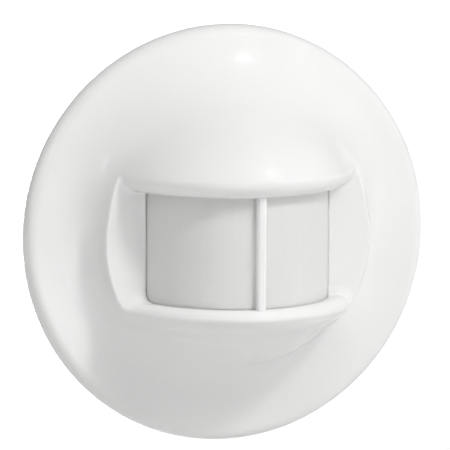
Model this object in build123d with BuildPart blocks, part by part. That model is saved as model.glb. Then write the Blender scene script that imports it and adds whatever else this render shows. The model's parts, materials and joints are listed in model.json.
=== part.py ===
from build123d import *
import math
import os

# Flush-mounted round motion sensor. Millimetres, +Z up, +X to the viewer's right, front towards -Y.
# The origin is on the cover's axis in the wall plane, at the centre of the box-screw pattern.
# "depth" is the distance in front of the wall, so y = -depth. Negative depths are inside the wall box.

# Cover
COVER_R = 40.0
RIM_H = 1.4
RIM_ROUND = 1.0
DISC_EDGE_H = 2.4
DISC_ROOT_R = 28.0
DISC_ROOT_H = 4.3
SKIN = 1.7
RIM_INNER_H = 1.3
EYE_R = 27.8
EYE_DEPTH = 0.5
WALL = 2.0
HOOD_BASE_R = 29.5
HOOD_BASE_DEPTH = 3.0
HOOD_RISE = 4.5
HOOD_TOP_DEPTH = 19.0
HOOD_TOP_R = 19.5
BROW_Z = 9.5
BROW_ROUND = 3.2
SILL_Z = -11.8
LIP_Z = -14.6
LIP_EDGE_R = math.sqrt(EYE_R**2 - LIP_Z**2)
GROOVE_FLOOR_R = 21.5
CHEEK_DEPTH = 9.3
HOOK_W = 5.0
HOOK_IN_R = 24.1
HOOK_OUT_R = 25.3
HOOK_TOP = 7.0
HOOK_TIP = 1.3

# Lens
LENS_AXIS = 2.2
LENS_R = 19.7
LENS_T = 0.6
LENS_BACK = 7.7
LENS_Z0 = -13.3
LENS_Z1 = 11.2
CHAMBER_R = LENS_R + 0.3
RIB_HALF = 0.95
RIB_BACK = LENS_AXIS + LENS_R + 0.02
RIB_FRONT = LENS_AXIS + LENS_R + 1.4
FRAME_T = 1.0

# Support ring and claws
RING_R = 35.0
RING_BORE_R = 24.6
RING_T = 1.2
BOX_SPACING = 60.0
SLOT_R = 1.9
SLOT_LENGTH = 7.0
CLAW_SCREW_Z = 26.5
CLAW_SCREW_R = 1.2
CLAW_PIVOT_Z = 28.9
CLAW_PIVOT_DEPTH = -2.9
CLAW_PIN_R = 0.5
CLAW_HALF = 3.3
CLAW_T = 0.8
CLAW_TIP = -16.0
CLAW_NOTCH = 2.2
EAR_T = 1.0
EAR_GAP = 0.3
EAR_EDGE = 0.95
CLAW_SCREW_HEAD_R = 2.1
CLAW_SCREW_HEAD_T = 0.95
CLAW_SCREW_TIP = -14.0
CLAW_SCREW_SLOT = 0.7
NUT_HALF = 2.5
NUT_BACK = -13.4
NUT_FRONT = -9.4

# Housing, chassis and boards
CUP_R = 24.4
CUP_WALL = 1.5
CUP_BACK = -27.0
REAR_COVER_H = 3.0
CUP_REAR = CUP_BACK + REAR_COVER_H
FLANGE_R = 28.5
FLANGE_T = 1.4
SHELF_DEPTH = -14.0
SHELF_T = 1.0
RECESS_WALL = 1.4
CHASSIS_R = 28.0
CHASSIS_T = 1.0
HOUSING_SCREW_X = 19.6
HOUSING_SCREW_R = 1.35
HOUSING_SCREW_HEAD_R = 2.3
HOUSING_SCREW_HEAD_T = 1.2
HOUSING_SCREW_TIP = -7.5
SCREW_POST_R = 3.4
SCREW_POST_REAR = -10.0
BOARD_T = 1.6
BOARD_REAR = 3.4
BOARD_FRONT = BOARD_REAR + BOARD_T
BOARD_HALF_X = 17.0
BOARD_HALF_Z = 15.0
POST = 12.8
POST_R = 1.9
BOARD_SCREW_R = 0.8
BOARD_SCREW_HEAD_R = 1.8
BOARD_SCREW_HEAD_T = 1.1
POWER_FRONT = -11.0
POWER_REAR = POWER_FRONT - BOARD_T
POWER_R = 22.2

# Detector parts
PYRO_Z = -3.0
PYRO_R = 4.6
PYRO_FRONT = 9.4
WINDOW_HALF_X = 2.6
WINDOW_HALF_Z = 2.1
HOLDER_R = 6.6
HOLDER_H = 2.4
DIODE_R = 1.5
DIODE_Z = -8.0
DIODE_X = 12.0
DIODE_COLLAR = 0.8
DIODE_NOSE = 2.2
TRIMMER_Z = 7.4
TRIMMER_X = (-9.0, 0.0, 9.0)
TRIMMER_NAMES = ("time", "light", "range")
TRIMMER_HALF = 3.4
TRIMMER_H = 3.4
DIAL_R = 2.9
DIAL_H = 2.4
DIAL_LIFT = 0.3
DIAL_SLOT = 0.9
CHIP_X = 12.0
CHIP_Z = -1.0
CHIP_HALF_X = 1.95
CHIP_HALF_Z = 2.5
CHIP_H = 1.6
LEG_REACH = 3.0
DIAL_SHAFT_R = 1.5
DIAL_GAP = 0.06
HEADER_HALF_X = 8.0
HEADER_HALF_Z = 2.2
PIN_PITCH = 2.54
PIN_COUNT = 5
PIN_W = 0.64
PLUG_END = -1.0
PIN_END = -5.5
SOCKET_MOUTH = -2.0

# Parts on the power board: x, z and height, then their own sizes
RELAY_HALF_X = 10.0
RELAY_Z = (5.0, 15.5)
RELAY_H = 10.0
FILM_X = (-17.0, -4.0)
FILM_Z = (-13.0, -7.0)
FILM_H = 9.5
STORAGE_AT = (7.5, -11.5)
STORAGE_R = 5.0
STORAGE_H = 11.0
CHOKE_AT = (-13.0, 0.4)
CHOKE_FLANGE_R = 2.9
CHOKE_CORE_R = 2.2
CHOKE_FLANGE_T = 1.2
CHOKE_H = 8.0
VARISTOR_X = (11.2, 14.0)
VARISTOR_R = 3.4
FUSE_AT = (16.0, -6.9)
FUSE_R = 3.4
FUSE_H = 7.5
RECTIFIER_X = (12.5, 17.3)
RECTIFIER_Z = (6.0, 10.0)
RECTIFIER_H = 2.6

# Terminals
POLE_X = (-8.0, 0.0, 8.0)
BLOCK_HALF_X = 12.5
BLOCK_LOW = -16.0
BLOCK_HIGH = -4.0
WIRE_Z = -7.4
WIRE_R = 1.6
POCKET_BACK = -24.0
POCKET_FRONT = -15.5
CAGE_Z0 = -11.6
CAGE_Z1 = -5.2
CAGE_TRAVEL = 2.2
CAGE_HALF = 2.9
CAGE_WALL = 0.7
CLAMP_DEPTH = -19.8
CLAMP_HEAD_R = 1.82
CLAMP_SHANK_R = 1.25
CLAMP_HEAD_LOW = -15.8
CLAMP_HEAD_T = 1.4
CLAMP_TIP_Z = -9.9
CLAMP_SLOT = 0.6
CAGE_BACK = -23.6
CAGE_FRONT = -16.0
BAR_HALF = 1.9
BAR_Z = (-9.7, -8.9)
BAR_BACK = -23.0

FREE = 0.05
FAR = 60.0


def front(depth):
    """Plane facing the viewer at a depth: local x is +X, local y is +Z, extrusions come forward."""
    return Plane.XZ.offset(depth)


def vertical_axis(depth):
    return Axis((0, -depth, 0), (0, 0, 1))


def save(piece, name):
    piece.part.label = name
    export_step(piece.part, f"parts/{name}.step")


def block(x0, x1, z0, z1, d0, d1):
    """Box between two depths, added to the part being built."""
    with BuildSketch(front(d0)) as outline:
        with Locations(((x0 + x1) / 2, (z0 + z1) / 2)):
            Rectangle(x1 - x0, z1 - z0)
    extrude(outline.sketch, amount=d1 - d0)


def rod(x, z, radius, d0, d1, mode=Mode.ADD):
    """Round bar or hole along the depth direction."""
    with BuildSketch(front(d0)) as outline:
        with Locations((x, z)):
            Circle(radius)
    extrude(outline.sketch, amount=d1 - d0, mode=mode)


def cut_block(x0, x1, z0, z1, d0, d1):
    with BuildSketch(front(d0)) as outline:
        with Locations(((x0 + x1) / 2, (z0 + z1) / 2)):
            Rectangle(x1 - x0, z1 - z0)
    extrude(outline.sketch, amount=d1 - d0, mode=Mode.SUBTRACT)


def make_groove():
    """The recess that lets the lens see sideways: a ring cut, flat at the cheeks."""
    with BuildPart() as groove:
        with BuildSketch(front(EYE_DEPTH)):
            with BuildLine():
                Polyline((0, BROW_Z), (0, SILL_Z), (GROOVE_FLOOR_R, SILL_Z))
                Line((GROOVE_FLOOR_R, SILL_Z), (LIP_EDGE_R, LIP_Z))
                Polyline(
                    (LIP_EDGE_R, LIP_Z),
                    (FAR, LIP_Z),
                    (FAR, BROW_Z + BROW_ROUND),
                    (GROOVE_FLOOR_R + BROW_ROUND, BROW_Z + BROW_ROUND),
                )
                RadiusArc(
                    (GROOVE_FLOOR_R + BROW_ROUND, BROW_Z + BROW_ROUND),
                    (GROOVE_FLOOR_R, BROW_Z),
                    BROW_ROUND,
                )
                Line((GROOVE_FLOOR_R, BROW_Z), (0, BROW_Z))
            make_face()
        revolve(axis=vertical_axis(EYE_DEPTH))
        split(bisect_by=front(CHEEK_DEPTH), keep=Keep.TOP)
    return groove.part


def make_cavity():
    """The hollow behind the cover's skin, with the lens chamber open to the front."""
    with BuildPart() as cavity:
        with Locations((0, -EYE_DEPTH, 0)):
            Sphere(EYE_R - WALL)
        with BuildSketch(front(CHEEK_DEPTH - WALL)):
            with Locations((0, (LIP_Z + BROW_Z) / 2)):
                Rectangle(FAR, BROW_Z - LIP_Z + 2 * WALL)
        extrude(amount=FAR, mode=Mode.SUBTRACT)
        with BuildSketch(Plane.XY.offset(SILL_Z - WALL)):
            with Locations((0, -LENS_AXIS)):
                Circle(CHAMBER_R)
        extrude(amount=BROW_Z - SILL_Z + 2 * WALL)
    return cavity.part


def make_front_cover():
    groove = make_groove()
    cavity = make_cavity()
    with BuildPart() as front_cover:
        with BuildSketch(Plane.XY):
            with BuildLine():
                Polyline((0, -DISC_ROOT_H), (DISC_ROOT_R, -DISC_ROOT_H))
                Line((DISC_ROOT_R, -DISC_ROOT_H), (COVER_R - RIM_ROUND, -DISC_EDGE_H))
                RadiusArc((COVER_R - RIM_ROUND, -DISC_EDGE_H), (COVER_R, -RIM_H), RIM_ROUND)
                Polyline((COVER_R, -RIM_H), (COVER_R, 0), (0, 0), (0, -DISC_ROOT_H))
            make_face()
        revolve(axis=Axis.Y)
        with Locations((0, -EYE_DEPTH, 0)):
            Sphere(EYE_R)
        with BuildSketch(front(HOOD_BASE_DEPTH)):
            with Locations((0, HOOD_RISE)):
                Circle(HOOD_BASE_R)
        with BuildSketch(front(HOOD_TOP_DEPTH)):
            Circle(HOOD_TOP_R)
        loft()
        add(groove, mode=Mode.SUBTRACT)
        add(cavity, mode=Mode.SUBTRACT)
        with BuildSketch(Plane.XY):
            with BuildLine():
                Polyline(
                    (0, FAR),
                    (COVER_R - SKIN, FAR),
                    (COVER_R - SKIN, -RIM_INNER_H),
                    (DISC_ROOT_R, -(DISC_ROOT_H - SKIN)),
                    (0, -(DISC_ROOT_H - SKIN)),
                    (0, FAR),
                )
            make_face()
        revolve(axis=Axis.Y, mode=Mode.SUBTRACT)
        # four straight hooks that guide the cover onto the chassis
        with BuildSketch(front(HOOK_TIP)):
            with PolarLocations((HOOK_IN_R + HOOK_OUT_R) / 2, 4, start_angle=45):
                Rectangle(HOOK_OUT_R - HOOK_IN_R, HOOK_W)
        extrude(amount=HOOK_TOP - HOOK_TIP)
    save(front_cover, "front_cover")


def lens_arc(radius_out, radius_in):
    """Front part of a ring about the lens axis, in the current sketch."""
    with Locations((0, -LENS_AXIS)):
        Circle(radius_out)
        Circle(radius_in, mode=Mode.SUBTRACT)
    with Locations((0, -LENS_BACK - FAR / 2)):
        Rectangle(FAR, FAR, mode=Mode.INTERSECT)


def make_lens():
    with BuildPart() as lens:
        with BuildSketch(Plane.XY.offset(LENS_Z0)):
            lens_arc(LENS_R, LENS_R - LENS_T)
        extrude(amount=LENS_Z1 - LENS_Z0)
    save(lens, "lens")


def make_lens_rib():
    """Upright rounded bar in front of the middle of the lens."""
    slope = (SILL_Z - LIP_Z) / (LIP_EDGE_R - GROOVE_FLOOR_R)
    foot = SILL_Z - slope * (RIB_FRONT - EYE_DEPTH - GROOVE_FLOOR_R)
    with BuildPart() as lens_rib:
        with BuildSketch(Plane.YZ.offset(-RIB_HALF)):
            with BuildLine():
                Polyline(
                    (-RIB_BACK, SILL_Z),
                    (-(EYE_DEPTH + GROOVE_FLOOR_R), SILL_Z),
                    (-RIB_FRONT, foot),
                    (-RIB_FRONT, BROW_Z),
                    (-RIB_BACK, BROW_Z),
                    (-RIB_BACK, SILL_Z),
                )
            make_face()
        extrude(amount=2 * RIB_HALF)
        front_edges = lens_rib.edges().filter_by(Axis.Z).group_by(Axis.Y)[0]
        fillet(front_edges, radius=0.75 * RIB_HALF)
    save(lens_rib, "lens_rib")


def make_lens_retainer():
    """Frame inside the cover that presses the lens against the opening."""
    outer = LENS_R - LENS_T - FREE
    with BuildPart() as lens_retainer:
        with BuildSketch(Plane.XY.offset(LENS_Z0)):
            lens_arc(outer, outer - FRAME_T)
        extrude(amount=LENS_Z1 - LENS_Z0)
        cut_block(-FAR, FAR, SILL_Z, BROW_Z, CHEEK_DEPTH + FRAME_T, FAR)
    save(lens_retainer, "lens_retainer")


def make_support_ring():
    with BuildPart() as support_ring:
        with BuildSketch(front(0)):
            Circle(RING_R)
            Circle(RING_BORE_R, mode=Mode.SUBTRACT)
            with Locations((-BOX_SPACING / 2, 0), (BOX_SPACING / 2, 0)):
                SlotOverall(SLOT_LENGTH, 2 * SLOT_R, mode=Mode.SUBTRACT)
            with Locations((0, CLAW_SCREW_Z), (0, -CLAW_SCREW_Z)):
                Circle(CLAW_SCREW_R + FREE, mode=Mode.SUBTRACT)
        extrude(amount=RING_T)
        for side in (-1, 1):
            for upper in (-1, 1):
                low, high = sorted((upper * (CLAW_SCREW_Z + EAR_GAP), upper * (CLAW_PIVOT_Z + EAR_EDGE)))
                left, right = sorted((side * (CLAW_HALF + EAR_GAP), side * (CLAW_HALF + EAR_GAP + EAR_T)))
                block(left, right, low, high, CLAW_PIVOT_DEPTH - 2 * CLAW_PIN_R, 0)
        with BuildSketch(Plane.YZ.offset(-FAR / 2)):
            with Locations(
                (-CLAW_PIVOT_DEPTH, CLAW_PIVOT_Z),
                (-CLAW_PIVOT_DEPTH, -CLAW_PIVOT_Z),
            ):
                Circle(CLAW_PIN_R)
        extrude(amount=FAR, mode=Mode.SUBTRACT)
    save(support_ring, "support_ring")


def make_claw(name, upper):
    """Spreading claw: a barrel on the pin and a blade with two teeth, folded back along the housing."""
    with BuildPart() as claw:
        with BuildSketch(Plane.YZ.offset(-CLAW_HALF)):
            with Locations((-CLAW_PIVOT_DEPTH, upper * CLAW_PIVOT_Z)):
                Circle(2 * CLAW_PIN_R)
        extrude(amount=2 * CLAW_HALF)
        low, high = sorted((upper * (CLAW_PIVOT_Z - CLAW_T / 2), upper * (CLAW_PIVOT_Z + CLAW_T / 2)))
        block(-CLAW_HALF, CLAW_HALF, low, high, CLAW_TIP, CLAW_PIVOT_DEPTH)
        with BuildSketch(Plane.YZ.offset(-CLAW_HALF)):
            with Locations((-CLAW_PIVOT_DEPTH, upper * CLAW_PIVOT_Z)):
                Circle(CLAW_PIN_R + FREE)
        extrude(amount=2 * CLAW_HALF, mode=Mode.SUBTRACT)
        cut_block(-CLAW_NOTCH / 2, CLAW_NOTCH / 2, low - 1, high + 1, CLAW_TIP, CLAW_TIP + CLAW_NOTCH)
    save(claw, name)


def make_claw_pins():
    reach = CLAW_HALF + EAR_GAP + EAR_T
    with BuildPart() as claw_pins:
        with BuildSketch(Plane.YZ.offset(-reach)):
            with Locations(
                (-CLAW_PIVOT_DEPTH, CLAW_PIVOT_Z),
                (-CLAW_PIVOT_DEPTH, -CLAW_PIVOT_Z),
            ):
                Circle(CLAW_PIN_R - 0.01)
        extrude(amount=2 * reach)
    save(claw_pins, "claw_pins")


def make_claw_screw(name, upper):
    seat = RING_T + 0.02
    top = RING_T + CLAW_SCREW_HEAD_T
    centre = upper * CLAW_SCREW_Z
    with BuildPart() as claw_screw:
        rod(0, centre, CLAW_SCREW_R, CLAW_SCREW_TIP, seat)
        rod(0, centre, CLAW_SCREW_HEAD_R, seat, top)
        cut_block(
            -CLAW_SCREW_SLOT / 2, CLAW_SCREW_SLOT / 2,
            centre - CLAW_SCREW_HEAD_R, centre + CLAW_SCREW_HEAD_R,
            top - CLAW_SCREW_SLOT, top,
        )
    save(claw_screw, name)


def make_claw_nut(name, upper):
    """Square nut that the claw screw draws forward behind the claw."""
    inner = CUP_R + 0.5
    outer = CLAW_PIVOT_Z - CLAW_T / 2 - 0.3
    low, high = sorted((upper * inner, upper * outer))
    with BuildPart() as claw_nut:
        block(-NUT_HALF, NUT_HALF, low, high, NUT_BACK, NUT_FRONT)
        rod(0, upper * CLAW_SCREW_Z, CLAW_SCREW_R + FREE, NUT_BACK, NUT_FRONT, Mode.SUBTRACT)
    save(claw_nut, name)


def notched_flange(radius, depth, thickness):
    """Flange that leaves room for the box screws at the sides and the claws above and below."""
    with BuildSketch(front(depth)) as outline:
        Circle(radius)
        with Locations((-BOX_SPACING / 2, 0), (BOX_SPACING / 2, 0)):
            Circle(4.4, mode=Mode.SUBTRACT)
        with Locations((0, CUP_R + 5), (0, -CUP_R - 5)):
            Rectangle(2 * CLAW_HALF + 4, 10, mode=Mode.SUBTRACT)
    extrude(outline.sketch, amount=thickness)


def make_rear_housing():
    """Round cup wall with its flange, two screw posts and the recess under the terminals."""
    inner_r = CUP_R - CUP_WALL
    window = BLOCK_HALF_X + FREE
    with BuildPart() as rear_housing:
        rod(0, 0, CUP_R, CUP_REAR, RING_T)
        notched_flange(FLANGE_R, -FLANGE_T, FLANGE_T)
        rod(0, 0, inner_r, CUP_REAR, RING_T, Mode.SUBTRACT)
        with BuildSketch(front(SCREW_POST_REAR)):
            with Locations((-HOUSING_SCREW_X, 0), (HOUSING_SCREW_X, 0)):
                Circle(SCREW_POST_R)
            Circle(CUP_R - CUP_WALL / 2, mode=Mode.INTERSECT)
        extrude(amount=RING_T - SCREW_POST_REAR)
        for x in (-HOUSING_SCREW_X, HOUSING_SCREW_X):
            rod(x, 0, HOUSING_SCREW_R + FREE, HOUSING_SCREW_TIP - 0.5, RING_T, Mode.SUBTRACT)
        with BuildSketch(front(SHELF_DEPTH)):
            Circle(CUP_R - CUP_WALL / 2)
            with Locations((0, BLOCK_LOW - FAR / 2)):
                Rectangle(2 * (window + RECESS_WALL), FAR, mode=Mode.INTERSECT)
        extrude(amount=SHELF_T)
        for side in (-1, 1):
            left, right = sorted((side * window, side * (window + RECESS_WALL)))
            block(left, right, BLOCK_LOW - 3.5, BLOCK_LOW + 1, CUP_REAR, SHELF_DEPTH)
        cut_block(-window, window, -FAR, BLOCK_LOW, CUP_REAR, SHELF_DEPTH)
    save(rear_housing, "rear_housing")


def make_rear_cover():
    """Shallow cap that closes the cup behind, cut away around the terminal block."""
    window = BLOCK_HALF_X + FREE
    with BuildPart() as rear_cover:
        rod(0, 0, CUP_R, CUP_BACK, CUP_REAR)
        rod(0, 0, CUP_R - CUP_WALL, CUP_BACK + CUP_WALL, CUP_REAR, Mode.SUBTRACT)
        cut_block(-window, window, -FAR, BLOCK_HIGH + FREE, CUP_BACK, CUP_REAR)
        back_edges = rear_cover.faces().sort_by(Axis.Y)[-1].edges().filter_by(GeomType.CIRCLE)
        chamfer(back_edges, length=0.6)
    save(rear_cover, "rear_cover")


def make_chassis():
    with BuildPart() as chassis:
        notched_flange(CHASSIS_R, RING_T, CHASSIS_T)
        rod(0, 0, CUP_R, RING_T, RING_T + CHASSIS_T)
        with BuildSketch(front(RING_T)):
            with Locations((0, CLAW_SCREW_Z), (0, -CLAW_SCREW_Z)):
                Circle(CLAW_SCREW_HEAD_R + 0.5)
            Rectangle(2 * HEADER_HALF_X + 2, 2 * HEADER_HALF_Z + 2)
            with PolarLocations((HOOK_IN_R + HOOK_OUT_R) / 2, 4, start_angle=45):
                Rectangle(HOOK_OUT_R - HOOK_IN_R + 0.8, HOOK_W + 0.8)
            with Locations((-HOUSING_SCREW_X, 0), (HOUSING_SCREW_X, 0)):
                Circle(HOUSING_SCREW_R + 0.35)
        extrude(amount=CHASSIS_T, mode=Mode.SUBTRACT)
        with BuildSketch(front(RING_T + CHASSIS_T)):
            with GridLocations(2 * POST, 2 * POST, 2, 2):
                Circle(POST_R)
        extrude(amount=BOARD_REAR - RING_T - CHASSIS_T)
        with BuildSketch(front(BOARD_REAR)):
            with GridLocations(2 * POST, 2 * POST, 2, 2):
                Circle(BOARD_SCREW_R + FREE)
        extrude(amount=-1.2, mode=Mode.SUBTRACT)
    save(chassis, "chassis")


def cross_slot(x, z, half, width, depth, top):
    """Cross recess in a screw head."""
    cut_block(x - half, x + half, z - width / 2, z + width / 2, top - depth, top)
    cut_block(x - width / 2, x + width / 2, z - half, z + half, top - depth, top)


def make_housing_screws():
    seat = RING_T + CHASSIS_T
    top = seat + HOUSING_SCREW_HEAD_T
    with BuildPart() as housing_screws:
        for x in (-HOUSING_SCREW_X, HOUSING_SCREW_X):
            rod(x, 0, HOUSING_SCREW_R, HOUSING_SCREW_TIP, seat)
            rod(x, 0, HOUSING_SCREW_HEAD_R, seat, top)
            cross_slot(x, 0, 1.5, 0.7, 0.6, top)
    save(housing_screws, "housing_screws")


def make_sensor_board():
    with BuildPart() as sensor_board:
        with BuildSketch(front(BOARD_REAR)):
            RectangleRounded(2 * BOARD_HALF_X, 2 * BOARD_HALF_Z, 2.0)
            with GridLocations(2 * POST, 2 * POST, 2, 2):
                Circle(1.1, mode=Mode.SUBTRACT)
        extrude(amount=BOARD_T)
    save(sensor_board, "sensor_board")


def make_board_screws():
    with BuildPart() as board_screws:
        for x in (-POST, POST):
            for z in (-POST, POST):
                rod(x, z, BOARD_SCREW_R, BOARD_REAR - 1.0, BOARD_FRONT)
                rod(x, z, BOARD_SCREW_HEAD_R, BOARD_FRONT, BOARD_FRONT + BOARD_SCREW_HEAD_T)
                cross_slot(x, z, 1.2, 0.6, 0.6, BOARD_FRONT + BOARD_SCREW_HEAD_T)
    save(board_screws, "board_screws")


def make_pyro_sensor():
    with BuildPart() as pyro_can:
        rod(0, PYRO_Z, PYRO_R, BOARD_FRONT, PYRO_FRONT)
        can_edges = pyro_can.faces().sort_by(Axis.Y)[0].edges()
        fillet(can_edges, radius=0.5)
        cut_block(
            -WINDOW_HALF_X, WINDOW_HALF_X,
            PYRO_Z - WINDOW_HALF_Z, PYRO_Z + WINDOW_HALF_Z,
            PYRO_FRONT - 0.5, PYRO_FRONT,
        )
    save(pyro_can, "pyro_can")
    with BuildPart() as pyro_window:
        block(
            FREE - WINDOW_HALF_X, WINDOW_HALF_X - FREE,
            PYRO_Z - WINDOW_HALF_Z + FREE, PYRO_Z + WINDOW_HALF_Z - FREE,
            PYRO_FRONT - 0.5, PYRO_FRONT - 0.1,
        )
    save(pyro_window, "pyro_window")
    with BuildPart() as pyro_holder:
        rod(0, PYRO_Z, HOLDER_R, BOARD_FRONT, BOARD_FRONT + HOLDER_H)
        rim_edges = pyro_holder.faces().sort_by(Axis.Y)[0].edges()
        chamfer(rim_edges, length=0.6)
        rod(0, PYRO_Z, PYRO_R + FREE, BOARD_FRONT, BOARD_FRONT + HOLDER_H, Mode.SUBTRACT)
    save(pyro_holder, "pyro_holder")


def make_diode(name, x):
    """Round-nosed optical part standing on the sensor board."""
    collar = BOARD_FRONT + DIODE_COLLAR
    with BuildPart() as diode:
        rod(x, DIODE_Z, DIODE_R + 0.3, BOARD_FRONT, collar)
        rod(x, DIODE_Z, DIODE_R, collar, collar + DIODE_NOSE)
        with Locations((x, -(collar + DIODE_NOSE), DIODE_Z)):
            Sphere(DIODE_R)
    save(diode, name)


def make_trimmer(name, x):
    """Square trimmer body with a slotted dial that turns on its shaft."""
    body_front = BOARD_FRONT + TRIMMER_H
    dial_base = body_front + DIAL_LIFT
    dial_top = dial_base + DIAL_H
    shaft_rear = BOARD_FRONT + 1.3
    bore_r = DIAL_SHAFT_R + DIAL_GAP
    with BuildPart() as trimmer:
        block(
            x - TRIMMER_HALF, x + TRIMMER_HALF,
            TRIMMER_Z - TRIMMER_HALF, TRIMMER_Z + TRIMMER_HALF,
            BOARD_FRONT, body_front,
        )
        chamfer(trimmer.faces().sort_by(Axis.Y)[0].edges(), length=0.4)
        rod(x, TRIMMER_Z, bore_r, shaft_rear - 0.3, body_front, Mode.SUBTRACT)
    save(trimmer, name + "_trimmer")
    with BuildPart() as dial:
        rod(x, TRIMMER_Z, DIAL_R, dial_base, dial_top)
        chamfer(dial.faces().sort_by(Axis.Y)[0].edges(), length=0.4)
        rod(x, TRIMMER_Z, DIAL_SHAFT_R, shaft_rear, dial_base)
        cut_block(
            x - DIAL_SLOT / 2, x + DIAL_SLOT / 2,
            TRIMMER_Z - 2.0, TRIMMER_Z + DIAL_R,
            dial_top - 1.0, dial_top,
        )
    save(dial, name + "_dial")


def make_microcontroller():
    """Small eight-pin chip: a body standing on four leg strips."""
    pitch = PIN_PITCH / 2
    with BuildPart() as microcontroller:
        block(
            CHIP_X - CHIP_HALF_X, CHIP_X + CHIP_HALF_X,
            CHIP_Z - CHIP_HALF_Z, CHIP_Z + CHIP_HALF_Z,
            BOARD_FRONT + 0.1, BOARD_FRONT + CHIP_H,
        )
        for row in range(4):
            leg = CHIP_Z + pitch * (row - 1.5)
            block(CHIP_X - LEG_REACH, CHIP_X + LEG_REACH, leg - 0.2, leg + 0.2, BOARD_FRONT, BOARD_FRONT + 0.3)
    save(microcontroller, "microcontroller")


def pin_places():
    return [(PIN_PITCH * (i - (PIN_COUNT - 1) / 2), 0) for i in range(PIN_COUNT)]


def make_board_connector():
    """Plug on the sensor board, its pins, and the socket on the power board."""
    with BuildPart() as header_block:
        block(-HEADER_HALF_X, HEADER_HALF_X, -HEADER_HALF_Z, HEADER_HALF_Z, PLUG_END, BOARD_REAR)
    save(header_block, "header_block")
    with BuildPart() as header_pins:
        with BuildSketch(front(PIN_END)):
            with Locations(*pin_places()):
                Rectangle(PIN_W, PIN_W)
        extrude(amount=PLUG_END - PIN_END)
    save(header_pins, "header_pins")
    with BuildPart() as socket_strip:
        block(-HEADER_HALF_X, HEADER_HALF_X, -HEADER_HALF_Z, HEADER_HALF_Z, POWER_FRONT, SOCKET_MOUTH)
        with BuildSketch(front(SOCKET_MOUTH)):
            with Locations(*pin_places()):
                Rectangle(PIN_W + 0.26, PIN_W + 0.26)
        extrude(amount=PIN_END - 0.5 - SOCKET_MOUTH, mode=Mode.SUBTRACT)
    save(socket_strip, "socket_strip")


def soften_front(piece, radius):
    fillet(piece.faces().sort_by(Axis.Y)[0].edges(), radius=radius)


def make_power_board():
    with BuildPart() as power_board:
        rod(0, 0, POWER_R, POWER_REAR, POWER_FRONT)
    save(power_board, "power_board")


def make_box_components():
    with BuildPart() as relay:
        block(-RELAY_HALF_X, RELAY_HALF_X, *RELAY_Z, POWER_FRONT, POWER_FRONT + RELAY_H)
        soften_front(relay, 0.6)
    save(relay, "relay")
    with BuildPart() as film_capacitor:
        block(*FILM_X, *FILM_Z, POWER_FRONT, POWER_FRONT + FILM_H)
        soften_front(film_capacitor, 0.5)
    save(film_capacitor, "film_capacitor")
    with BuildPart() as rectifier:
        block(*RECTIFIER_X, *RECTIFIER_Z, POWER_FRONT, POWER_FRONT + RECTIFIER_H)
    save(rectifier, "rectifier")


def make_round_components():
    with BuildPart() as storage_capacitor:
        rod(*STORAGE_AT, STORAGE_R, POWER_FRONT, POWER_FRONT + STORAGE_H)
        soften_front(storage_capacitor, 0.6)
    save(storage_capacitor, "storage_capacitor")
    choke_top = POWER_FRONT + CHOKE_H
    with BuildPart() as choke:
        rod(*CHOKE_AT, CHOKE_CORE_R, POWER_FRONT, choke_top)
        rod(*CHOKE_AT, CHOKE_FLANGE_R, POWER_FRONT, POWER_FRONT + CHOKE_FLANGE_T)
        rod(*CHOKE_AT, CHOKE_FLANGE_R, choke_top - CHOKE_FLANGE_T, choke_top)
    save(choke, "choke")
    with BuildPart() as varistor:
        with BuildSketch(Plane.YZ.offset(VARISTOR_X[0])):
            with Locations((-(POWER_FRONT + VARISTOR_R + 0.1), 0)):
                Circle(VARISTOR_R)
        extrude(amount=VARISTOR_X[1] - VARISTOR_X[0])
    save(varistor, "varistor")
    with BuildPart() as fuse:
        rod(*FUSE_AT, FUSE_R, POWER_FRONT, POWER_FRONT + FUSE_H)
        soften_front(fuse, 0.5)
    save(fuse, "fuse")


def make_terminal_block():
    with BuildPart() as terminal_block:
        block(-BLOCK_HALF_X, BLOCK_HALF_X, BLOCK_LOW, BLOCK_HIGH, CUP_BACK, POWER_REAR)
        for x in POLE_X:
            cut_block(
                x - CAGE_HALF - 0.2, x + CAGE_HALF + 0.2,
                CAGE_Z0 - CAGE_TRAVEL - 0.15, CAGE_Z1 + 0.2,
                POCKET_BACK, POCKET_FRONT,
            )
            rod(x, WIRE_Z, WIRE_R, CUP_BACK, POCKET_BACK, Mode.SUBTRACT)
            with BuildSketch(Plane.XY.offset(BLOCK_LOW)):
                with Locations((x, -CLAMP_DEPTH)):
                    Circle(CLAMP_HEAD_R + 0.08)
            extrude(amount=CAGE_Z0 - CAGE_TRAVEL - BLOCK_LOW, mode=Mode.SUBTRACT)
    save(terminal_block, "terminal_block")


def make_contact_bars():
    with BuildPart() as contact_bars:
        for x in POLE_X:
            block(x - BAR_HALF, x + BAR_HALF, *BAR_Z, BAR_BACK, POCKET_FRONT)
    save(contact_bars, "contact_bars")


def make_terminal_cage(number, x):
    with BuildPart() as terminal_cage:
        block(x - CAGE_HALF, x + CAGE_HALF, CAGE_Z0, CAGE_Z1, CAGE_BACK, CAGE_FRONT)
        cut_block(
            x - CAGE_HALF + CAGE_WALL, x + CAGE_HALF - CAGE_WALL,
            CAGE_Z0 + CAGE_WALL, CAGE_Z1 - CAGE_WALL,
            CAGE_BACK, CAGE_FRONT,
        )
        with BuildSketch(Plane.XY.offset(CAGE_Z0)):
            with Locations((x, -CLAMP_DEPTH)):
                Circle(CLAMP_SHANK_R + FREE)
        extrude(amount=CAGE_WALL, mode=Mode.SUBTRACT)
    save(terminal_cage, f"terminal_cage_{number}")


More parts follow.
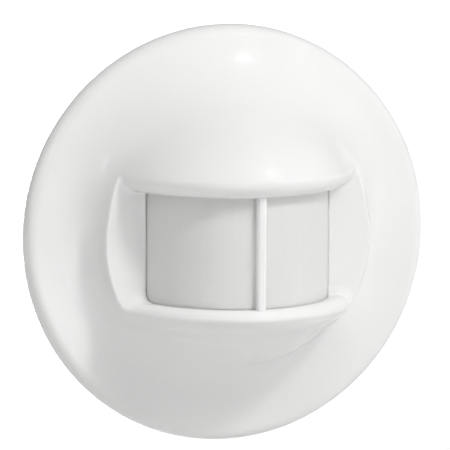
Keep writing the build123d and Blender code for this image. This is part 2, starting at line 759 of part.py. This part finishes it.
def make_terminal_screw(number, x):
    head_high = CLAMP_HEAD_LOW + CLAMP_HEAD_T
    with BuildPart() as terminal_screw:
        with BuildSketch(Plane.XY.offset(CLAMP_HEAD_LOW)):
            with Locations((x, -CLAMP_DEPTH)):
                Circle(CLAMP_HEAD_R)
        extrude(amount=CLAMP_HEAD_T)
        with BuildSketch(Plane.XY.offset(head_high)):
            with Locations((x, -CLAMP_DEPTH)):
                Circle(CLAMP_SHANK_R)
        extrude(amount=CLAMP_TIP_Z - head_high)
        with BuildSketch(Plane.XY.offset(CLAMP_HEAD_LOW)):
            with Locations((x, -CLAMP_DEPTH)):
                Rectangle(2 * CLAMP_HEAD_R, CLAMP_SLOT)
        extrude(amount=CLAMP_HEAD_T / 2, mode=Mode.SUBTRACT)
    save(terminal_screw, f"terminal_screw_{number}")


def main():
    os.makedirs("parts", exist_ok=True)
    make_front_cover()
    make_lens()
    make_lens_rib()
    make_lens_retainer()
    make_support_ring()
    make_claw_pins()
    for name, upper in (("upper", 1), ("lower", -1)):
        make_claw(f"{name}_claw", upper)
        make_claw_screw(f"{name}_claw_screw", upper)
        make_claw_nut(f"{name}_claw_nut", upper)
    make_rear_housing()
    make_rear_cover()
    make_chassis()
    make_housing_screws()
    make_sensor_board()
    make_board_screws()
    make_pyro_sensor()
    make_diode("light_sensor", -DIODE_X)
    make_diode("status_led", DIODE_X)
    for name, x in zip(TRIMMER_NAMES, TRIMMER_X):
        make_trimmer(name, x)
    make_microcontroller()
    make_board_connector()
    make_power_board()
    make_box_components()
    make_round_components()
    make_terminal_block()
    make_contact_bars()
    for number, x in enumerate(POLE_X, start=1):
        make_terminal_cage(number, x)
        make_terminal_screw(number, x)


main()
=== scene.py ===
import json
import math

import bmesh
import bpy
import numpy as np
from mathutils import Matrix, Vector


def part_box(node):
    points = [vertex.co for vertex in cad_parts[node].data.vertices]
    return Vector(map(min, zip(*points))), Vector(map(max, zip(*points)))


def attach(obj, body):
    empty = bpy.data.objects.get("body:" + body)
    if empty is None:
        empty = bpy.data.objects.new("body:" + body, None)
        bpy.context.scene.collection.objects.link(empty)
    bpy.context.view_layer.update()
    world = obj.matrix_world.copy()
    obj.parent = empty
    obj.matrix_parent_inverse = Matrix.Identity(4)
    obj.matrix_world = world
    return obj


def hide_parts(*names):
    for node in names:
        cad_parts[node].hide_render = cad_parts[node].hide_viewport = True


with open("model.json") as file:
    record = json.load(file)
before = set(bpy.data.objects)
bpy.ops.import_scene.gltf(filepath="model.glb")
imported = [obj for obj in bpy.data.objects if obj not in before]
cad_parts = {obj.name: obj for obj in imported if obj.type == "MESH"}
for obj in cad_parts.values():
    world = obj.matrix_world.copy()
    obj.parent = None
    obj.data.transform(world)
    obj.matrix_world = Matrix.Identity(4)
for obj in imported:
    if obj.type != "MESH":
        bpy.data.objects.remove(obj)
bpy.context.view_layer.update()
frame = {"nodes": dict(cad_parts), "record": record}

import openvdb
from mathutils import Matrix, Vector

# Flush-mounted round motion sensor. The frame is the CAD model's: +Z up, front towards -Y, metres.
# The cover and the lens are worked out in millimetres as (x, depth, z), where depth = -y is the
# distance from the wall.

MM = 0.001


def extent(node, axis):
    """Lowest and highest coordinate of a CAD node along an axis, in millimetres."""
    low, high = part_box(node)
    return low[axis] / MM, high[axis] / MM


# ---------------------------------------------------------------- sizes, millimetres

COVER_R = extent("front_cover", 0)[1]
SKIN = 1.7

# Lens sheet with its upright grooves, on an upright axis LENS_AXIS from the wall, and the chamber
# behind the opening that it sits in.
LENS_HALF = extent("lens", 0)[1]
LENS_FRONT = -extent("lens", 1)[0]
LENS_EDGE_DEPTH = -extent("lens", 1)[1]
LENS_LOW, LENS_HIGH = extent("lens", 2)
LENS_AXIS = 3.0
LENS_R = LENS_FRONT - LENS_AXIS
LENS_T = 0.3
LENS_FACETS = 180
LENS_LEVELS = 12
GROOVE_DEPTH = 0.012
CHAMBER_R = LENS_R + 0.05
CHAMBER_SHIFT = 0.06
CHAMBER_MARGIN = 0.6
CHAMBER_BACK = 1.2
OPENING_BLEND = (0.2, 0.5)
OPENING_EASE = (9.8, 11.5)

# Disc against the wall: a shallow crown with a rolled rim.
DISC_CROWN = 4.5
DISC_EDGE = 2.3
RIM_BLEND = 2.4

# Ball round the lens, a little smaller below the sill, and the skirt that runs from it to the
# disc. The skirt is narrow at the bottom and starts to widen just below the middle.
EYE_DEPTH = 0.5
EYE_R = 27.6
EYE_R_LOW = 26.4
LIP_BEAD = (-18.2, -14.9)
SKIRT_LOW_R = 27.2
SKIRT_TOP_R = 33.3
SKIRT_DEPTH = 3.2
SKIRT_START = 0.15
SKIRT_POWER = 1.3
DISC_BLEND = 3.5
DISC_BLEND_TOP = 6.5

# Shallow fold round the lower part of the ball: crisp at the right, fading out upwards and softer
# towards the left.
FOLD_R = 25.2
FOLD_DEPTH = 8.3
FOLD_SLOPE = (0.606, 0.796)
FOLD_LIFT = 4.0
FOLD_ARC = (0.2, 0.7)
FOLD_BLEND = 0.7
FOLD_BLEND_LEFT = 3.5
FOLD_EASE = (-12.0, 10.0)

# Recess for the lens: brow above, sill below, cheeks at the sides.
BROW_Z = extent("lens_rib", 2)[1]
BROW_ROUND = 3.2
BROW_REACH = 24.6
BROW_SAG = 0.35
BROW_FILLET = 0.8
SILL_Z = -11.5
SILL_ROUND = 2.6
SILL_REACH = 24.2
SILL_SAG = 0.3
SILL_FILLET = 2.6
LIP_BLEND = 0.5
CHEEK_DEPTH = 8.6
CHEEK_RISE = 0.08
EDGE_BLEND = 0.35
INNER_BLEND = 0.3

# Hooks on the diagonals that hold the cover on the ring.
HOOK_R = 24.7
HOOK_HALF_T = 0.6
HOOK_HALF_W = 2.5
HOOK_TIP = 1.4
HOOK_ROOT = 6.0
HOOK_BLEND = 0.4

# Grid that the cover's field is sampled on.
PITCH = 0.3
GRID_MARGIN = 1.0
GRID_FRONT = 26.4


# ---------------------------------------------------------------- cover as a field

def smooth_min(a, b, k):
    """Smaller of two fields, blended over a width k."""
    h = np.clip(0.5 + 0.5 * (b - a) / k, 0.0, 1.0)
    return b + (a - b) * h - k * h * (1.0 - h)


def smooth_max(a, b, k):
    """Larger of two fields, blended over a width k."""
    return -smooth_min(-a, -b, k)


def smooth_step(low, high, t):
    """0 below low, 1 above high, eased in between."""
    u = np.clip((t - low) / (high - low), 0.0, 1.0)
    return u * u * (3.0 - 2.0 * u)


def outer_skin(x, d, z):
    """Disc, ball and hood before the groove is cut: negative inside."""
    r = np.hypot(x, z) + 1e-6
    upward = np.clip((z / r + SKIRT_START) / (1.0 + SKIRT_START), 0.0, 1.0) ** SKIRT_POWER
    crown = d - (DISC_CROWN - (DISC_CROWN - DISC_EDGE) * (r / COVER_R) ** 2)
    ball_r = EYE_R_LOW + (EYE_R - EYE_R_LOW) * smooth_step(*LIP_BEAD, z)
    rise = d - EYE_DEPTH
    skirt_r = SKIRT_LOW_R + (SKIRT_TOP_R - SKIRT_LOW_R) * upward
    skirt_rise = SKIRT_DEPTH - EYE_DEPTH
    tangent = np.arctan2(skirt_rise, skirt_r) + np.arccos(
        np.clip(ball_r / np.hypot(skirt_r, skirt_rise), -1.0, 1.0)
    )
    ball = np.sqrt(r * r + rise * rise) - ball_r
    skirt = r * np.cos(tangent) + rise * np.sin(tangent) - ball_r
    eye = np.where(np.arctan2(rise, r) < tangent, skirt, ball)
    fold = (r - FOLD_R) * FOLD_SLOPE[0] + (d - FOLD_DEPTH) * FOLD_SLOPE[1]
    fold = fold + FOLD_LIFT * (1.0 - smooth_step(*FOLD_ARC, -z / r))
    eye = smooth_min(eye, fold, FOLD_BLEND + FOLD_BLEND_LEFT * smooth_step(*FOLD_EASE, -x))
    joined = smooth_min(eye, crown, DISC_BLEND + DISC_BLEND_TOP * upward)
    return smooth_max(joined, r - COVER_R, RIM_BLEND)


def rounded_lip(out, over, radius):
    """Corner of a wall that ends at out = 0 and over = 0, rounded off."""
    out, over = out + radius, over + radius
    beyond = np.hypot(np.maximum(out, 0.0), np.maximum(over, 0.0))
    rounded = beyond + np.minimum(np.maximum(out, over), 0.0) - radius
    return smooth_min(rounded, over, LIP_BLEND)


def groove_walls(x, d, z):
    """Sill, brow and cheeks around the recess: negative inside their material."""
    rho = np.hypot(x, np.maximum(d - EYE_DEPTH, 0.0))
    middle = np.clip(1.0 - (x / LENS_HALF) ** 2, 0.0, 1.0)
    sill = rounded_lip(rho - SILL_REACH, z - SILL_Z + SILL_SAG * middle, SILL_ROUND)
    brow = rounded_lip(rho - BROW_REACH, BROW_Z - BROW_SAG * middle - z, BROW_ROUND)
    cheek = d - (CHEEK_DEPTH + CHEEK_RISE * np.maximum(np.abs(x) - LENS_HALF, 0.0))
    return smooth_min(smooth_min(sill, cheek, SILL_FILLET), brow, BROW_FILLET)


def cover_field(x, d, z):
    """The whole cover: hollow skin, lens opening and hooks, cut flat at the wall."""
    body = smooth_max(outer_skin(x, d, z), groove_walls(x, d, z), EDGE_BLEND)
    shell = smooth_max(body, -(body + SKIN), INNER_BLEND)
    chamber = np.maximum.reduce([
        np.hypot(x + CHAMBER_SHIFT, d - LENS_AXIS) - CHAMBER_R,
        z - (BROW_Z + SKIN + CHAMBER_MARGIN),
        (SILL_Z - SKIN - CHAMBER_MARGIN) - z,
        CHEEK_DEPTH - SKIN - CHAMBER_BACK - d,
    ])
    back_edge, front_edge = OPENING_BLEND
    edge = back_edge + (front_edge - back_edge) * smooth_step(*OPENING_EASE, d)
    shell = smooth_max(shell, -chamber, edge)
    diagonal = math.sqrt(0.5)
    across = np.minimum(np.abs(x - z), np.abs(x + z)) * diagonal
    along = np.maximum(np.abs(x - z), np.abs(x + z)) * diagonal
    hooks = np.maximum.reduce([
        np.abs(along - HOOK_R) - HOOK_HALF_T,
        across - HOOK_HALF_W,
        HOOK_TIP - d,
        d - HOOK_ROOT,
    ])
    return np.maximum(smooth_min(shell, hooks, HOOK_BLEND), -d)


def field_gradient(field, points, step=0.02):
    """Slope of a field at each point, by central differences."""
    slopes = []
    for axis in range(3):
        offset = np.zeros(3)
        offset[axis] = step
        ahead = field(*(points + offset).T)
        behind = field(*(points - offset).T)
        slopes.append((ahead - behind) / (2.0 * step))
    return np.stack(slopes, axis=1)


def mesh_from_field(name, field, low, high, pitch):
    """Quads on the zero surface of a field, drawn onto it and shaded with its own normals."""
    band_cells, pulls, least_slope, reach = 3.0, 4, 0.3, 0.6 * pitch
    low = np.array(low)
    counts = np.ceil((np.array(high) - low) / pitch).astype(int) + 1
    axes = [low[i] + pitch * np.arange(counts[i]) for i in range(3)]
    values = field(*np.meshgrid(*axes, indexing="ij")).astype(np.float32)
    grid = openvdb.FloatGrid(pitch * band_cells)
    grid.copyFromArray(values)
    points, quads = grid.convertToQuads(0.0)
    start = points.astype(float) * pitch + low
    points = start.copy()
    for _ in range(pulls):
        slope = field_gradient(field, points)
        length2 = np.maximum((slope ** 2).sum(axis=1), least_slope)
        points -= (field(*points.T) / length2)[:, None] * slope
        points = start + np.clip(points - start, -reach, reach)
    normals = field_gradient(field, points)
    normals /= np.maximum(np.linalg.norm(normals, axis=1, keepdims=True), 1e-9)
    to_row = np.diag([1.0, -1.0, 1.0])
    mesh = bpy.data.meshes.new(name)
    mesh.from_pydata((points @ to_row * MM).tolist(), [], quads[:, ::-1].tolist())
    mesh.validate()
    turned = normals @ to_row
    sample = list(mesh.polygons)[:400]
    if sum(face.normal.dot(Vector(turned[face.vertices[0]])) for face in sample) < 0:
        mesh.flip_normals()
    mesh.shade_smooth()
    mesh.normals_split_custom_set_from_vertices(turned.tolist())
    piece = bpy.data.objects.new(name, mesh)
    bpy.context.collection.objects.link(piece)
    return piece


# ---------------------------------------------------------------- materials

class Nodes:
    """Short way to write a node tree."""

    def __init__(self, name):
        self.material = bpy.data.materials.new(name)
        self.material.use_nodes = True
        self.tree = self.material.node_tree
        self.shader = self.tree.nodes["Principled BSDF"]
        self.place = self.add("ShaderNodeTexCoord").outputs["Object"]

    def add(self, kind, **settings):
        node = self.tree.nodes.new(kind)
        for key, value in settings.items():
            setattr(node, key, value)
        return node

    def link(self, out, into):
        self.tree.links.new(out, into)

    def set(self, socket, value):
        self.shader.inputs[socket].default_value = value

    def noise(self, scale, detail=3.0, stretch=(1, 1, 1)):
        mapping = self.add("ShaderNodeMapping")
        mapping.inputs["Scale"].default_value = stretch
        self.link(self.place, mapping.inputs["Vector"])
        node = self.add("ShaderNodeTexNoise")
        node.inputs["Scale"].default_value = scale
        node.inputs["Detail"].default_value = detail
        self.link(mapping.outputs["Vector"], node.inputs["Vector"])
        return node.outputs["Fac"]

    def ramp(self, value, low, high, start=0.3, end=0.7):
        node = self.add("ShaderNodeValToRGB")
        node.color_ramp.elements[0].position = start
        node.color_ramp.elements[1].position = end
        node.color_ramp.elements[0].color = (*low, 1.0)
        node.color_ramp.elements[1].color = (*high, 1.0)
        self.link(value, node.inputs["Fac"])
        return node.outputs["Color"]

    def colour(self, value, base, spread):
        low = tuple(c * (1.0 - spread) for c in base)
        high = tuple(min(1.0, c * (1.0 + spread)) for c in base)
        self.link(self.ramp(value, low, high), self.shader.inputs["Base Color"])

    def roughness(self, value, low, high):
        node = self.add("ShaderNodeMapRange")
        node.inputs["To Min"].default_value = low
        node.inputs["To Max"].default_value = high
        self.link(value, node.inputs["Value"])
        self.link(node.outputs["Result"], self.shader.inputs["Roughness"])

    def bump(self, value, distance, strength):
        node = self.add("ShaderNodeBump")
        node.inputs["Strength"].default_value = strength
        node.inputs["Distance"].default_value = distance
        self.link(value, node.inputs["Height"])
        self.link(node.outputs["Normal"], self.shader.inputs["Normal"])


def moulded(name, base, rough=(0.3, 0.4), grain=900.0, depth=0.00001, spread=0.02):
    """Injection-moulded plastic: faint tone drift, fine surface grain."""
    n = Nodes(name)
    n.colour(n.noise(60.0), base, spread)
    n.roughness(n.noise(220.0), *rough)
    n.bump(n.noise(grain, 2.0), depth, 0.5)
    return n.material


def lens_film():
    """Milky polyethylene with a soft sheen and fine upright grain between the grooves."""
    n = Nodes("lens_film")
    grain = n.noise(2600.0, 2.0, (1.0, 1.0, 0.012))
    n.colour(grain, (0.70, 0.70, 0.687), 0.008)
    n.roughness(n.noise(500.0, 2.0, (1.0, 1.0, 0.1)), 0.30, 0.42)
    n.bump(grain, 0.00002, 0.35)
    n.set("Subsurface Weight", 0.3)
    n.set("Subsurface Radius", (0.002, 0.002, 0.002))
    n.set("Subsurface Scale", 0.4)
    return n.material


def metal(name, base, rough=(0.2, 0.4), stretch=(1, 1, 1)):
    """Plated or drawn metal; the stretch turns the grain into brush marks."""
    grain = 700.0
    n = Nodes(name)
    n.colour(n.noise(90.0), base, 0.06)
    n.roughness(n.noise(grain, 4.0, stretch), *rough)
    n.bump(n.noise(grain, 3.0, stretch), 0.00001, 0.5)
    n.set("Metallic", 1.0)
    return n.material


def laminate():
    """Green solder mask over a faint copper pattern."""
    n = Nodes("board_laminate")
    cells = n.add("ShaderNodeTexVoronoi", feature="DISTANCE_TO_EDGE")
    cells.inputs["Scale"].default_value = 380.0
    n.link(n.place, cells.inputs["Vector"])
    copper_under, bare_mask = (0.05, 0.26, 0.12), (0.025, 0.15, 0.07)
    tracks = n.ramp(cells.outputs["Distance"], copper_under, bare_mask, 0.02, 0.06)
    n.link(tracks, n.shader.inputs["Base Color"])
    n.roughness(n.noise(300.0), 0.25, 0.4)
    n.bump(cells.outputs["Distance"], 0.00002, 0.3)
    return n.material


def resin(name, base, through):
    """Clear or tinted cast resin; through is the share of light let through."""
    n = Nodes(name)
    n.colour(n.noise(200.0), base, 0.04)
    n.roughness(n.noise(500.0), 0.04, 0.12)
    n.set("Transmission Weight", through)
    n.set("IOR", 1.5)
    return n.material


MATERIALS = {
    "cover_gloss": moulded(
        "cover_plastic", (0.78, 0.78, 0.774), (0.16, 0.22),
        grain=1400.0, depth=0.000004, spread=0.006,
    ),
    "lens_film": lens_film(),
    "frame_white": moulded("satin_white_plastic", (0.82, 0.82, 0.80), (0.35, 0.5)),
    "housing_grey": moulded(
        "matt_grey_plastic", (0.60, 0.61, 0.61), (0.45, 0.6), grain=700.0, depth=0.00003,
    ),
    "black_plastic": moulded(
        "matt_black_plastic", (0.025, 0.025, 0.027), (0.4, 0.55),
        grain=700.0, depth=0.00003, spread=0.1,
    ),
    "dial_white": moulded("dial_plastic", (0.78, 0.77, 0.72), (0.3, 0.45)),
    "zinc_steel": metal("zinc_plated_steel", (0.62, 0.63, 0.64), (0.22, 0.42), (1, 1, 0.1)),
    "screw_steel": metal("nickel_plated_steel", (0.66, 0.66, 0.65), (0.15, 0.3)),
    "contact_brass": metal("contact_brass", (0.74, 0.58, 0.30), (0.2, 0.35)),
    "board_green": laminate(),
    "can_nickel": metal("drawn_nickel", (0.70, 0.70, 0.68), (0.12, 0.25), (1, 0.1, 1)),
    "filter_dark": resin("infrared_filter", (0.03, 0.03, 0.045), 0.2),
    "lens_clear": resin("clear_resin", (0.85, 0.90, 0.92), 0.9),
    "led_red": resin("red_resin", (0.55, 0.02, 0.02), 0.4),
    "relay_case": moulded("relay_case_plastic", (0.06, 0.17, 0.38), (0.3, 0.4)),
    "film_yellow": moulded("capacitor_case_plastic", (0.70, 0.50, 0.07), (0.3, 0.42)),
    "sleeve_dark": moulded("shrink_sleeve", (0.02, 0.04, 0.09), (0.18, 0.3), spread=0.1),
    "ceramic_blue": moulded(
        "dipped_coating", (0.05, 0.16, 0.42), (0.15, 0.3), grain=300.0, depth=0.00005, spread=0.05,
    ),
}


# ---------------------------------------------------------------- pieces

def finish_piece(piece, material_slot, body, *nodes):
    """Material, body and the CAD nodes that a visual piece stands in for."""
    piece.data.materials.clear()
    piece.data.materials.append(MATERIALS[material_slot])
    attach(piece, body)
    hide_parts(*nodes)


def make_cover():
    edge = COVER_R + GRID_MARGIN
    cover = mesh_from_field(
        "front_cover_shell", cover_field,
        (-edge, -GRID_MARGIN, -edge), (edge, GRID_FRONT, edge),
        PITCH,
    )
    finish_piece(cover, "cover_gloss", "cover", "front_cover")


def closed_strip(name, rows):
    """Smooth quads through a closed loop of rows of points, the two open ends filled."""
    mesh = bmesh.new()
    made = [[mesh.verts.new((x * MM, -d * MM, z * MM)) for x, d, z in row] for row in rows]
    for a, b in zip(made, made[1:] + made[:1]):
        for i in range(len(a) - 1):
            mesh.faces.new((a[i], a[i + 1], b[i + 1], b[i])).smooth = True
    ends = [edge for edge in mesh.edges if edge.is_boundary]
    bmesh.ops.holes_fill(mesh, edges=ends)
    bmesh.ops.recalc_face_normals(mesh, faces=mesh.faces)
    data = bpy.data.meshes.new(name)
    mesh.to_mesh(data)
    mesh.free()
    piece = bpy.data.objects.new(name, data)
    bpy.context.collection.objects.link(piece)
    return piece


def make_lens():
    """Sheet of half-cylinder lens with shallow upright grooves on its outer face."""
    half_angle = math.acos((LENS_EDGE_DEPTH - LENS_AXIS) / LENS_R)
    angles = [half_angle * (2.0 * i / LENS_FACETS - 1.0) for i in range(LENS_FACETS + 1)]
    height = LENS_HIGH - LENS_LOW
    levels = [LENS_LOW + height * j / LENS_LEVELS for j in range(LENS_LEVELS + 1)]

    def column(angle, radius):
        x, depth = radius * math.sin(angle), LENS_AXIS + radius * math.cos(angle)
        return [(x, depth, z) for z in levels]

    outer = [column(angle, LENS_R - GROOVE_DEPTH * (i % 2)) for i, angle in enumerate(angles)]
    inner = [column(angle, LENS_R - LENS_T) for angle in reversed(angles)]
    lens = closed_strip("lens_sheet", outer + inner)
    finish_piece(lens, "lens_film", "cover", "lens")


def dress_cad_nodes():
    """Every CAD node that still shows gets its material and a small softened edge."""
    edge_width, sharpest = 0.12 * MM, math.radians(50)
    slots = {row["node"]: row["material_slot"] for row in frame["record"]["subparts"]}
    for name, node in frame["nodes"].items():
        if node.hide_render:
            continue
        node.data.materials.clear()
        node.data.materials.append(MATERIALS[slots[name]])
        bevel = node.modifiers.new("soft_edges", "BEVEL")
        bevel.width = edge_width
        bevel.segments = 2
        bevel.limit_method = "ANGLE"
        bevel.angle_limit = sharpest


make_cover()
make_lens()
dress_cad_nodes()


# ---------------------------------------------------------------- stage, light and camera

FLOOR_Z = -0.12
FLOOR_HALF = 6.0
WORLD_STRENGTH = 0.285

# Round lights that face the object: name, azimuth and elevation in degrees, diameter in metres,
# power in watts. The broad ones shade it; the glints only show as highlights.
LIGHT_DISTANCE = 2.0
BROAD_LIGHTS = [
    ("key", 35.0, 45.0, 0.28, 17.0),
    ("side", 52.0, 32.0, 0.4, 5.5),
    ("top", -5.0, 62.0, 0.3, 4.5),
    ("left_fill", -70.0, 40.0, 1.0, 7.5),
    ("right_fill", 72.0, 12.0, 0.6, 4.2),
]
GLINTS = [
    ("glint", 35.5, 49.5, 0.10, 0.9),
    ("left_gleam", -63.0, 16.0, 0.2, 1.2),
]

# Square lights that point straight down: name, place and side in metres, power in watts,
# spread in degrees.
FLOOR_LIGHTS = [
    ("backdrop", (0.4, 1.5, 1.0), 1.8, 24.0, 70.0),
    ("foreground", (-0.05, -0.5, 0.25), 0.3, 3.3, 50.0),
]

CAMERA_AZIMUTH, CAMERA_ELEVATION, CAMERA_ROLL = -18.1, 7.6, 0.2
CAMERA_DISTANCE = 1.0
DISC_SHARE = 0.9311
AIM_SHIFT = (0.00244, 0.01556)


def make_floor():
    mesh = bmesh.new()
    bmesh.ops.create_grid(mesh, x_segments=2, y_segments=2, size=FLOOR_HALF)
    data = bpy.data.meshes.new("floor")
    mesh.to_mesh(data)
    mesh.free()
    floor = bpy.data.objects.new("floor", data)
    floor.location.z = FLOOR_Z
    bpy.context.collection.objects.link(floor)
    n = Nodes("pale_floor")
    n.colour(n.noise(3.0), (0.82, 0.82, 0.82), 0.01)
    n.roughness(n.noise(5.0), 0.8, 0.9)
    data.materials.append(n.material)


def direction(azimuth, elevation):
    """Unit vector from the object: azimuth to the viewer's right of straight ahead, in degrees."""
    a, e = math.radians(azimuth), math.radians(elevation)
    return Vector((math.sin(a) * math.cos(e), -math.cos(a) * math.cos(e), math.sin(e)))


def soft_light(name, azimuth, elevation, diameter, power):
    """Round area light that faces the object."""
    data = bpy.data.lights.new(name, "AREA")
    data.shape = "ELLIPSE"
    data.size = diameter
    data.size_y = diameter
    data.energy = power
    lamp = bpy.data.objects.new(name, data)
    towards = direction(azimuth, elevation)
    lamp.location = towards * LIGHT_DISTANCE
    lamp.rotation_euler = towards.to_track_quat("Z", "Y").to_euler()
    lamp.visible_camera = False
    bpy.context.collection.objects.link(lamp)
    return lamp


def floor_light(name, location, size, power, spread):
    """Overhead light on the floor; the object gets little more than the floor throws back."""
    data = bpy.data.lights.new(name, "AREA")
    data.size = size
    data.energy = power
    data.spread = math.radians(spread)
    lamp = bpy.data.objects.new(name, data)
    lamp.location = location
    lamp.visible_glossy = False
    lamp.visible_camera = False
    bpy.context.collection.objects.link(lamp)


def make_lights():
    for settings in BROAD_LIGHTS:
        soft_light(*settings).visible_glossy = False
    for settings in GLINTS:
        soft_light(*settings).visible_diffuse = False
    for settings in FLOOR_LIGHTS:
        floor_light(*settings)
    world = bpy.data.worlds.new("studio")
    world.use_nodes = True
    background = world.node_tree.nodes["Background"]
    background.inputs["Color"].default_value = (1.0, 1.0, 1.0, 1.0)
    background.inputs["Strength"].default_value = WORLD_STRENGTH
    bpy.context.scene.world = world


def make_camera():
    """Lens length that lets the disc fill DISC_SHARE of the frame; AIM_SHIFT is in frame widths."""
    frame_width = 2.0 * COVER_R * MM / DISC_SHARE
    back = direction(CAMERA_AZIMUTH, CAMERA_ELEVATION)
    data = bpy.data.cameras.new("camera")
    data.sensor_width = 36.0
    data.lens = data.sensor_width * CAMERA_DISTANCE / frame_width
    data.clip_end = 50.0
    camera = bpy.data.objects.new("camera", data)
    roll = Matrix.Rotation(math.radians(CAMERA_ROLL), 3, "Z")
    turn = back.to_track_quat("Z", "Y").to_matrix() @ roll
    aim = turn @ Vector((*AIM_SHIFT, 0.0)) * frame_width
    camera.matrix_world = Matrix.Translation(aim + back * CAMERA_DISTANCE) @ turn.to_4x4()
    bpy.context.collection.objects.link(camera)
    bpy.context.scene.camera = camera


make_floor()
make_lights()
make_camera()
bpy.context.scene.view_settings.view_transform = "Standard"
